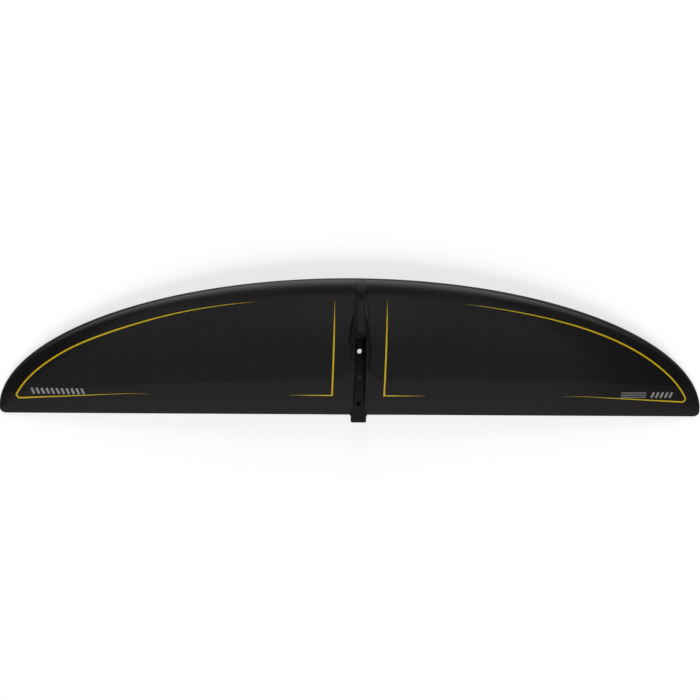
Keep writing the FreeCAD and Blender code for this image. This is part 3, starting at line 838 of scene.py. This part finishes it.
def laminate(name, pocket_shade_strength=0.0):
    """Moulded solid carbon in fine layers, pale on the lug, with painted shade: darker towards the
    pocket's deep closed end and nearly black down the screw holes.
    """
    nodes = Nodes(name)
    place = nodes.object_place()
    x, y, z = nodes.split(place)
    reach = nodes.size(x)
    layers = nodes.noise(nodes.stretched(place, 0.15, 0.15, 5.0), 1.0, 3.0)
    chips = nodes.cells(nodes.stretched(place, 0.22, 0.09, 0.3), {"distance": "CHEBYCHEV"})
    grain = nodes.noise(place, 2.2, 3.0, 0.6)

    # Painted shade: the pocket darkens towards its deep closed end, and the screw holes go nearly black
    # below the floor.
    pocket_shade = nodes.times(nodes.step(y, 20.0, SLOT_FRONT_Y), pocket_shade_strength)
    pocket_shade = nodes.times(pocket_shade, nodes.step(reach, 8.0, 7.2))
    pocket_shade = nodes.times(pocket_shade, nodes.step(y, SLOT_FRONT_Y - 1.8, SLOT_FRONT_Y - 0.8))
    hole_shade = nodes.times(nodes.step(reach, 4.2, 3.6), nodes.step(z, -0.3, -0.8))
    tone = nodes.slope(chips, 0.45, nodes.slope(layers, 0.5, 0.45))
    colour = nodes.scale(LAMINATE_TONE, nodes.times(tone, nodes.minus(1.0, pocket_shade)))
    lug_colour = nodes.scale(LUG_TONE, nodes.slope(layers, 0.3, 0.82))
    colour = nodes.mix(nodes.step(y, 14.0, 44.0), colour, lug_colour)
    colour = nodes.scale(colour, nodes.slope(hole_shade, -0.85, 1.0))

    height = nodes.plus(layers, nodes.times(grain, 0.5))
    return nodes.finish(
        Base_Color=colour,
        Roughness=nodes.slope(grain, 0.18, 0.32),
        Normal=nodes.bump(height, 0.00005, 0.5),
        Specular_IOR_Level=0.15,
        Coat_Weight=nodes.slope(nodes.larger(pocket_shade, hole_shade), -0.6, 0.7),
        Coat_Roughness=0.12,
        Coat_Normal=nodes.bump(grain, 0.00003, 0.3),
    )


def straight_fibre(name):
    """Straight-fibre carbon strip, fibres along the span."""
    nodes = Nodes(name)
    fibres = nodes.noise(nodes.stretched(nodes.object_place(), 0.03, 6.0, 6.0), 1.0, 4.0)
    return nodes.finish(
        Base_Color=nodes.scale(FIBRE_TONE, nodes.slope(fibres, 1.1, 0.45)),
        Roughness=nodes.slope(fibres, 0.25, 0.30),
        Anisotropic=0.7,
        Normal=nodes.bump(fibres, 0.00006, 0.6),
        Sheen_Weight=0.05,
    )


def foam(name):
    """Closed-cell core foam: fine broken cells, no shine."""
    nodes = Nodes(name)
    place = nodes.object_place()
    fine = nodes.noise(place, 3.5, 3.0, 0.65)
    broad = nodes.noise(place, 0.05, 2.0)
    cell_distance = nodes.add("ShaderNodeTexVoronoi", 0, None, Vector=place, Scale=1.4)
    # The pits are painted darker: painted shade in the cell hollows.
    pits = nodes.step(cell_distance, 0.10, 0.42)
    colour = nodes.scale(nodes.mix(pits, FOAM_PIT, FOAM_WALL), nodes.slope(broad, 0.2, 0.88))
    height = nodes.plus(pits, nodes.times(fine, 0.5))
    return nodes.finish(
        Base_Color=colour,
        Roughness=nodes.slope(fine, 0.1, 0.86),
        Specular_IOR_Level=0.2,
        Normal=nodes.bump(height, 0.0003, 0.8),
        Subsurface_Weight=0.05,
        Subsurface_Scale=0.002,
    )


def filled_resin(name):
    """Dark resin with short chopped fibres."""
    nodes = Nodes(name)
    place = nodes.object_place()
    flakes = nodes.cells(nodes.stretched(place, 0.5, 1.4, 1.1))
    cloudy = nodes.noise(place, 0.3, 3.0)
    return nodes.finish(
        Base_Color=nodes.scale(RESIN_TONE, nodes.slope(flakes, 0.6, nodes.times(cloudy, 0.9))),
        Roughness=nodes.slope(flakes, 0.25, 0.38),
        Normal=nodes.bump(cloudy, 0.0002, 0.5),
    )


def line_paint(name):
    """Yellow line paint under the clear coat."""
    nodes = Nodes(name)
    place = nodes.object_place()
    flow = nodes.noise(place, 0.35, 3.0)
    fine = nodes.noise(place, 6.0, 2.0, 0.6)
    colour = nodes.mix(flow, YELLOW_DEEP, YELLOW_PALE)
    return nodes.finish(
        Base_Color=colour,
        # The yellow also glows a little, though it is no lamp: painted light that brightens the lines.
        Emission_Color=colour,
        Emission_Strength=0.07,
        Roughness=nodes.slope(fine, 0.12, 0.36),
        Normal=nodes.bump(fine, 0.00003, 0.4),
        Coat_Weight=0.8,
        Coat_Roughness=0.05,
    )


def mark_paint(name):
    """Grey paint of the plain tip marks."""
    nodes = Nodes(name)
    place = nodes.object_place()
    flow = nodes.noise(place, 0.5, 3.0)
    fine = nodes.noise(place, 6.0, 2.0, 0.6)
    return nodes.finish(
        Base_Color=nodes.mix(flow, grey(0.40), grey(0.52)),
        Roughness=nodes.slope(fine, 0.15, 0.38),
        Normal=nodes.bump(fine, 0.00003, 0.4),
        Coat_Weight=0.7,
        Coat_Roughness=0.06,
    )


# Assembly ---------------------------------------------------------------------------------------------

SIDES = ((1, "left"), (-1, "right"))
CARRIED_MATERIALS = {
    "mount_block": laminate("block_laminate", 0.75),
    "shear_web": laminate("web_laminate"),
    "nose_strip": straight_fibre("nose_fibre"),
    "upper_cap": straight_fibre("upper_cap_fibre"),
    "lower_cap": straight_fibre("lower_cap_fibre"),
    "front_core": foam("front_foam"),
    "rear_core": foam("rear_foam"),
    "tail_strip": filled_resin("tail_resin"),
    "tip_filler": filled_resin("tip_resin"),
}


def dress(thing, material, slot_name, *nodes):
    """Gives a new piece its material and its body, and hides the CAD nodes it stands for."""
    thing.data.materials.clear()
    thing.data.materials.append(material)
    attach(thing, "root")
    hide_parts(*nodes)


def mark_cut_faces(thing, upper):
    """Gives the second material to faces that lie off the moulded surface round the middle."""
    middle_half = 16.0
    off_surface = 0.12
    for face in thing.data.polygons:
        x, y, z = [value / MM for value in face.center]
        if abs(x) > middle_half:
            continue
        share = (y - float(leading_edge(x))) / float(trailing_edge(x) - leading_edge(x))
        heights = section(np.float64(x), np.float64(min(1.0, max(0.0, share))))
        if abs(z - float(heights[1 if upper else 3])) > off_surface:
            face.material_index = 1


def build_skins():
    """Both skins, opened for the pocket, its lands, the lug and the screw holes."""
    cut_laminate = laminate("cut_laminate", 0.5)
    for name, upper in (("upper_skin", True), ("lower_skin", False)):
        skin = make_skin(name + "_cloth", upper)
        cutters = [slot_cutter(), land_cutter(), lug_cutter()]
        cutters += [screw_cutter(HOLE_SPACING * step) for step in (-1, 0, 1)]
        for cutter in cutters:
            cut(skin, cutter)
        shade(skin, 32.0)
        add_cloth_map(skin, upper)
        dress(skin, twill_carbon(name + "_carbon"), "clear_carbon", name)
        skin.data.materials.append(cut_laminate)
        mark_cut_faces(skin, upper)


def build_lug_gussets():
    """Small rounded corners where the lug leaves the trailing edge, one on each side."""
    inset = 0.02
    overlap = 0.05
    for side, hand in SIDES:
        rings = []
        for share in np.linspace(0, 1, 9):
            reach = GUSSET_RADIUS * share
            back = GUSSET_RADIUS - math.sqrt(GUSSET_RADIUS**2 - (GUSSET_RADIUS - reach) ** 2)
            high = (EDGE_Z + 0.75) * float(smooth_step(share)) - inset
            low = 0.6 * share + inset - LUG_THICKNESS
            x = side * (LUG_HALF - overlap + reach)
            front = TRAIL_Y - 0.6
            rear = TRAIL_Y + inset + back
            rings.append([(x, front, low), (x, rear, low), (x, rear, high), (x, front, high)])
        gusset = loft("lug_gusset_" + hand, rings)
        shade(gusset, 40.0)
        gusset.data.materials.append(CARRIED_MATERIALS["mount_block"])
        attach(gusset, "root")


def build_paint():
    """The yellow lines and the plain tip marks."""
    yellow = line_paint("yellow_line")
    pale = mark_paint("grey_mark")
    for side, hand in SIDES:
        outline = make_outline("outline_line_" + hand, side)
        dress(outline, yellow, "yellow_line", "outline_stripe_" + hand)
        corner = make_corner("corner_line_" + hand, side)
        dress(corner, yellow, "yellow_line", "corner_stripe_" + hand)
        mark = make_tip_mark("tip_dashes_" + hand, side)
        dress(mark, pale, "grey_mark", "tip_mark_" + hand)


def dress_carried_nodes():
    """Materials for the CAD pieces that show as they are."""
    for name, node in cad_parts.items():
        base = name.removesuffix("_left").removesuffix("_right")
        if base in CARRIED_MATERIALS:
            node.data.materials.clear()
            node.data.materials.append(CARRIED_MATERIALS[base])


build_skins()
build_lug_gussets()
build_paint()
dress_carried_nodes()


# Studio -----------------------------------------------------------------------------------------------

FLOOR_DROP = 0.0006
FLOOR_REACH = 14.0
FLOOR_GLOW = 0.66
MIRRORED_GLOW = 0.12


def shade_under_holes(nodes):
    """1 on the floor below the middle and rear screw holes, for a viewer straight above."""
    x, y, _ = nodes.split(nodes.object_place())
    under = nodes.times(nodes.step(y, -30.0, -8.0), 0.975)
    under = nodes.slope(nodes.step(y, 12.0, 24.0), 0.025, under)
    under = nodes.times(under, nodes.step(nodes.size(x), 60.0, 30.0), nodes.step(y, 56.0, 46.0))
    towards_viewer = nodes.tree.nodes.new("ShaderNodeNewGeometry").outputs["Incoming"]
    steepness = nodes.split(towards_viewer)[2]
    return nodes.times(under, nodes.step(steepness, 0.85, 0.97))


def floor_paper():
    """Pale paper that glows a little, so that it stays white round the wing."""
    nodes = Nodes("floor_paper")
    tone = nodes.noise(nodes.object_place(), 0.004, 2.0)
    under = shade_under_holes(nodes)
    mirrored = nodes.tree.nodes.new("ShaderNodeLightPath").outputs["Is Glossy Ray"]
    strength = nodes.times(nodes.blend(mirrored, FLOOR_GLOW, MIRRORED_GLOW), nodes.minus(1.0, under))
    colour = nodes.scale(nodes.mix(tone, grey(0.78), grey(0.82)), nodes.slope(under, -0.99, 1.0))
    nodes.finish(Base_Color=colour, Roughness=0.9, Specular_IOR_Level=0.1)
    glow = nodes.add("ShaderNodeEmission", 0, None, Color=grey(1.0), Strength=strength)
    both = nodes.tree.nodes.new("ShaderNodeAddShader")
    nodes.tree.links.new(nodes.surface.outputs[0], both.inputs[0])
    nodes.tree.links.new(glow, both.inputs[1])
    nodes.tree.links.new(both.outputs[0], nodes.tree.nodes["Material Output"].inputs["Surface"])
    return nodes.material


def build_floor():
    low = cad_box[0].z - FLOOR_DROP
    corners = [(-1, -1), (1, -1), (1, 1), (-1, 1)]
    mesh = bpy.data.meshes.new("studio_floor")
    mesh.from_pydata([(x * FLOOR_REACH, y * FLOOR_REACH, low) for x, y in corners], [], [(0, 1, 2, 3)])
    floor = bpy.data.objects.new("studio_floor", mesh)
    bpy.context.scene.collection.objects.link(floor)
    mesh.materials.append(floor_paper())


class WorldNodes(Nodes):
    """The same short words for the light all round."""

    def __init__(self):
        world = bpy.data.worlds.new("studio")
        world.use_nodes = True
        bpy.context.scene.world = world
        self.tree = world.node_tree


def build_light():
    """A dim ceiling, a bright panel low in front, a stronger one behind and dark flanks.

    Angles are in degrees from straight up: forward ones towards the nose, sideways ones
    towards either tip.
    """
    nodes = WorldNodes()
    x, y, z = nodes.split(nodes.add("ShaderNodeTexCoord", 0))
    degrees = 180 / math.pi
    forward = nodes.times(nodes.math("ARCTAN2", nodes.times(y, -1.0), z), degrees)
    sideways = nodes.times(nodes.math("ARCTAN2", nodes.size(x), z), degrees)
    ceiling = nodes.blend(nodes.step(sideways, 27.0, 21.0), 0.015, 0.15)
    front_width = nodes.blend(nodes.step(sideways, 62.0, 46.0), 0.25, 1.7)
    front = nodes.times(nodes.step(forward, 34.0, 68.0), front_width)
    near_rear = nodes.times(nodes.step(forward, -24.0, -34.0), 0.12)
    rear_width = nodes.blend(nodes.step(sideways, 54.0, 44.0), 0.08, 2.7)
    rear_band = nodes.times(nodes.step(forward, -40.0, -44.0), nodes.step(forward, -72.0, -66.0))
    rear = nodes.larger(near_rear, nodes.times(rear_band, rear_width))
    level = nodes.larger(nodes.larger(front, rear), ceiling)
    seen_directly = nodes.tree.nodes.new("ShaderNodeLightPath").outputs["Is Camera Ray"]
    level = nodes.blend(seen_directly, level, 1.0)
    background = nodes.tree.nodes["Background"]
    background.inputs["Color"].default_value = grey(1.0)
    nodes.tree.links.new(level, background.inputs["Strength"])


CAMERA_PLACE = (0.19512, -0.19876, 1.99059)
CAMERA_TURN_DEGREES = (-4.710, -5.147, -179.028)
CAMERA_LENS = 76.836


def build_camera():
    """Almost straight above the wing, a little ahead and to the left, with the nose upwards."""
    camera = bpy.data.objects.new("camera", bpy.data.cameras.new("camera"))
    bpy.context.scene.collection.objects.link(camera)
    turn = Euler([math.radians(angle) for angle in CAMERA_TURN_DEGREES])
    camera.matrix_world = Matrix.LocRotScale(Vector(CAMERA_PLACE), turn, None)
    camera.data.lens = CAMERA_LENS
    camera.data.sensor_width = 36.0
    camera.data.clip_start = 0.05
    camera.data.clip_end = 60.0
    bpy.context.scene.camera = camera


build_floor()
build_light()
build_camera()
bpy.context.scene.view_settings.view_transform = "Standard"
